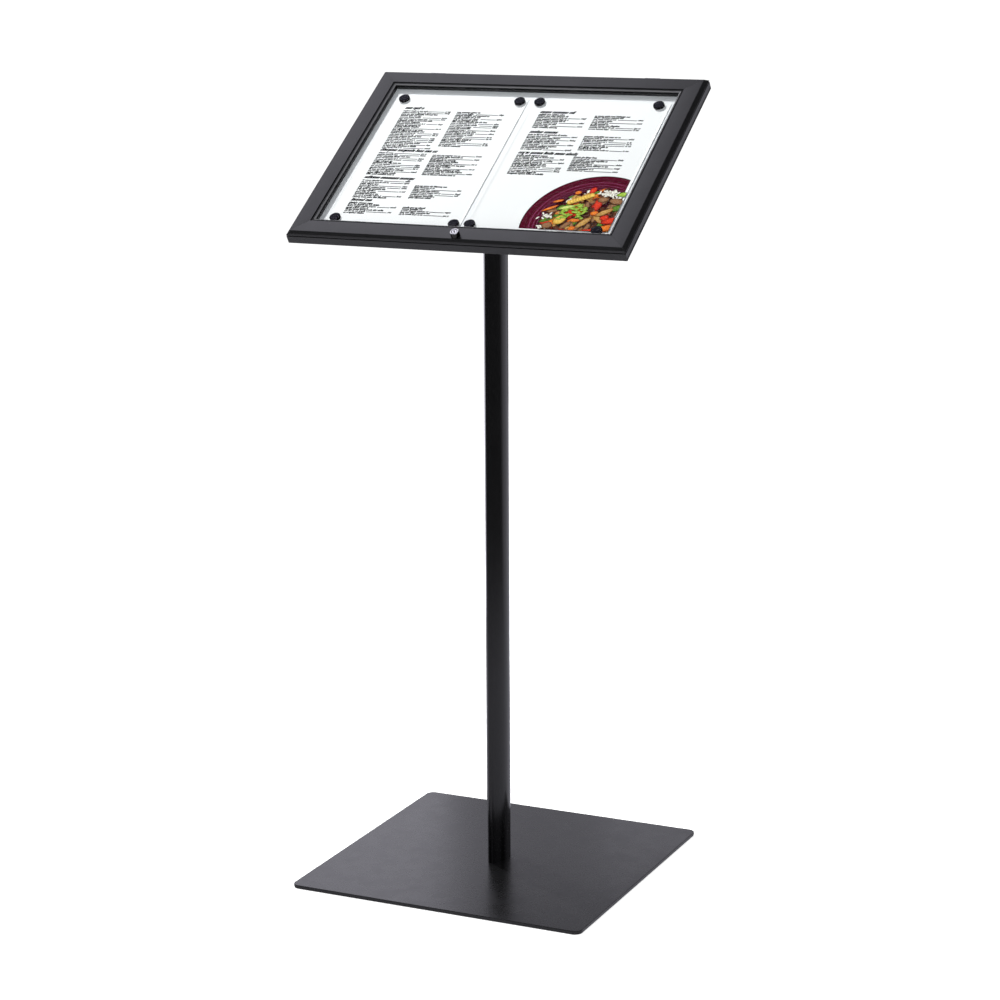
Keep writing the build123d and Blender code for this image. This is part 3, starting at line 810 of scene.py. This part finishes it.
def floor_look():
    """A matt white that glows up to the white round it, and for mirrors a painted glow, brightest near the
    stand and in a pool off to one side.
    """
    n = Nodes("studio_floor")
    place = n.add("NewGeometry").outputs["Position"]
    far = n.vector("LENGTH", place)
    # Painted reflection: what shiny surfaces see of the floor glows, though it is no lamp.
    near = n.remap(far, 0.9, 2.2, 0.58, 0.06, smooth=True)
    side = n.vector("DOT_PRODUCT", n.vector("NORMALIZE", place), towards(27, 0))
    lit = n.remap(side, 0.80, 0.98, 0.0, 0.56, smooth=True)
    mirrored = n.add("Emission", Color=STUDIO_TINT, Strength=n.math("MAXIMUM", near, lit))
    matt = n.add("BsdfDiffuse", Color=(0.80, 0.80, 0.80, 1))
    glow = n.add("Emission", Strength=n.remap(far, 0.3, 1.4, 0.85, 1.0, smooth=True))
    pale = n.add("AddShader")
    n.put(pale.inputs[0], matt.outputs[0])
    n.put(pale.inputs[1], glow.outputs[0])
    in_mirror = n.add("LightPath").outputs["Is Glossy Ray"]
    above = n.mix_shader(in_mirror, pale.outputs[0], mirrored.outputs[0])
    below = n.add("BsdfTransparent").outputs[0]
    return n.finish(n.mix_shader(n.add("NewGeometry").outputs["Backfacing"], above, below))


def soft_floor():
    """Pale seamless floor, clear from below. What mirrors see of it fades out a few metres away."""
    mesh = bmesh.new()
    bmesh.ops.create_circle(mesh, cap_ends=True, segments=96, radius=FLOOR_RADIUS)
    data = bpy.data.meshes.new("floor")
    mesh.to_mesh(data)
    mesh.free()
    floor = bpy.data.objects.new("floor", data)
    floor.location.z = cad_box[0].z - FLOOR_DROP
    bpy.context.scene.collection.objects.link(floor)
    data.materials.append(floor_look())


# Soft panels that shiny surfaces mirror: azimuth, elevation, full radius, faded radius, brightness
PANELS = (
    (-60, 50, 10, 38, 0.45),
    (32, 4, 8, 30, 0.55),
    (150, 26, 10, 34, 0.50),
    (-95, 18, 8, 26, 0.50),
    (88, 14, 6, 20, 0.45),
)
BETWEEN_PANELS = 0.05
MATT_LEVEL = 0.12


def studio_world():
    """White to the eye, dim and even to matt surfaces, and a few soft panels to glossy ones."""
    world = bpy.data.worlds.new("studio")
    bpy.context.scene.world = world
    n = Nodes(world=world)
    way = n.add("TexCoord").outputs["Generated"]
    total = BETWEEN_PANELS
    for azimuth, elevation, full, faded, strength in PANELS:
        dot = n.vector("DOT_PRODUCT", way, towards(azimuth, elevation))
        low, high = math.cos(math.radians(faded)), math.cos(math.radians(full))
        total = n.math("ADD", n.remap(dot, low, high, 0.0, strength, smooth=True), total)
    mirrored = n.add("Background", Color=STUDIO_TINT, Strength=total)
    even = n.add("Background", Color=WHITE, Strength=MATT_LEVEL)
    white = n.add("Background", Color=WHITE, Strength=1.0)
    path = n.add("LightPath").outputs
    unseen = n.mix_shader(path["Is Glossy Ray"], even.outputs[0], mirrored.outputs[0])
    n.finish(n.mix_shader(path["Is Camera Ray"], unseen, white.outputs[0]))


# ---------------------------------------------------------------- lights and camera
def area_light(name, shape, width, height, energy, tint):
    data = bpy.data.lights.new(name, "AREA")
    data.shape = shape
    data.size, data.size_y = width, height
    data.energy = energy
    data.color = tint
    lamp = bpy.data.objects.new(name, data)
    bpy.context.scene.collection.objects.link(lamp)
    return lamp


def aim(lamp, azimuth, elevation, distance):
    """Hangs a lamp in a direction from the case's face, pointing back at it."""
    way = towards(azimuth, elevation)
    lamp.location = FACE + way * distance
    lamp.rotation_euler = way.to_track_quat("Z", "Y").to_euler()


def matt_light(name, azimuth, elevation, size, power, tint=WHITE[:3]):
    """A soft box that lights matt surfaces only; what mirrors show comes from the panels."""
    lamp = area_light(name, "DISK", size, size, power, tint)
    aim(lamp, azimuth, elevation, distance=3.0)
    lamp.visible_glossy = False


def glossy_only(lamp):
    lamp.visible_camera = False
    lamp.visible_diffuse = False


def mirror_disk(name, azimuth, elevation, distance, size, brightness):
    """A round soft box near the case that only shiny surfaces see."""
    area = math.pi * size * size / 4
    lamp = area_light(name, "DISK", size, size, brightness * math.pi * area, STUDIO_TINT[:3])
    aim(lamp, azimuth, elevation, distance)
    glossy_only(lamp)


def mirror_wall(name, left, right, high, brightness):
    """An upright light wall behind the stand that only shiny surfaces see."""
    width = right - left
    lamp = area_light(name, "RECTANGLE", width, high, brightness * math.pi * width * high, STUDIO_TINT[:3])
    lamp.location = ((left + right) / 2, 1.0, high / 2)
    lamp.rotation_euler = (math.radians(-90), 0, 0)
    glossy_only(lamp)


def camera(place, yaw, pitch, roll, lens):
    """Yaw turns left from +Y, pitch looks down and roll leans the picture, in degrees."""
    data = bpy.data.cameras.new("camera")
    data.sensor_width = 36.0
    data.lens = lens
    data.clip_start, data.clip_end = 0.05, 200.0
    view = bpy.data.objects.new("camera", data)
    forward = towards(-yaw, -pitch)
    right = Vector((math.cos(math.radians(yaw)), math.sin(math.radians(yaw)), 0))
    above = right.cross(forward)
    r = math.radians(roll)
    right, above = right * math.cos(r) + above * math.sin(r), above * math.cos(r) - right * math.sin(r)
    turn = Matrix((right, above, -forward)).transposed().to_4x4()
    view.matrix_world = Matrix.Translation(place) @ turn
    bpy.context.scene.collection.objects.link(view)
    bpy.context.scene.camera = view


soft_floor()
studio_world()
matt_light("key", azimuth=-60, elevation=52, size=0.16, power=124)
matt_light("side", azimuth=-86, elevation=44, size=0.16, power=12)
matt_light("fill", azimuth=180, elevation=40, size=0.8, power=24, tint=(0.96, 0.98, 1.05))
mirror_wall("wall_left", left=-3.0, right=-0.57, high=0.9, brightness=1.08)
mirror_wall("wall_middle", left=-0.57, right=-0.25, high=0.6, brightness=0.46)
mirror_wall("wall_right", left=-0.25, right=0.0, high=0.5, brightness=0.66)
mirror_disk("overhead", azimuth=-60, elevation=50, distance=1.4, size=1.1, brightness=0.78)
camera(Vector((1.5967, -3.4291, 1.3977)), yaw=24.904, pitch=12.645, roll=-0.312, lens=96.684)
bpy.context.scene.view_settings.view_transform = "Standard"
bpy.context.scene.view_settings.look = "None"
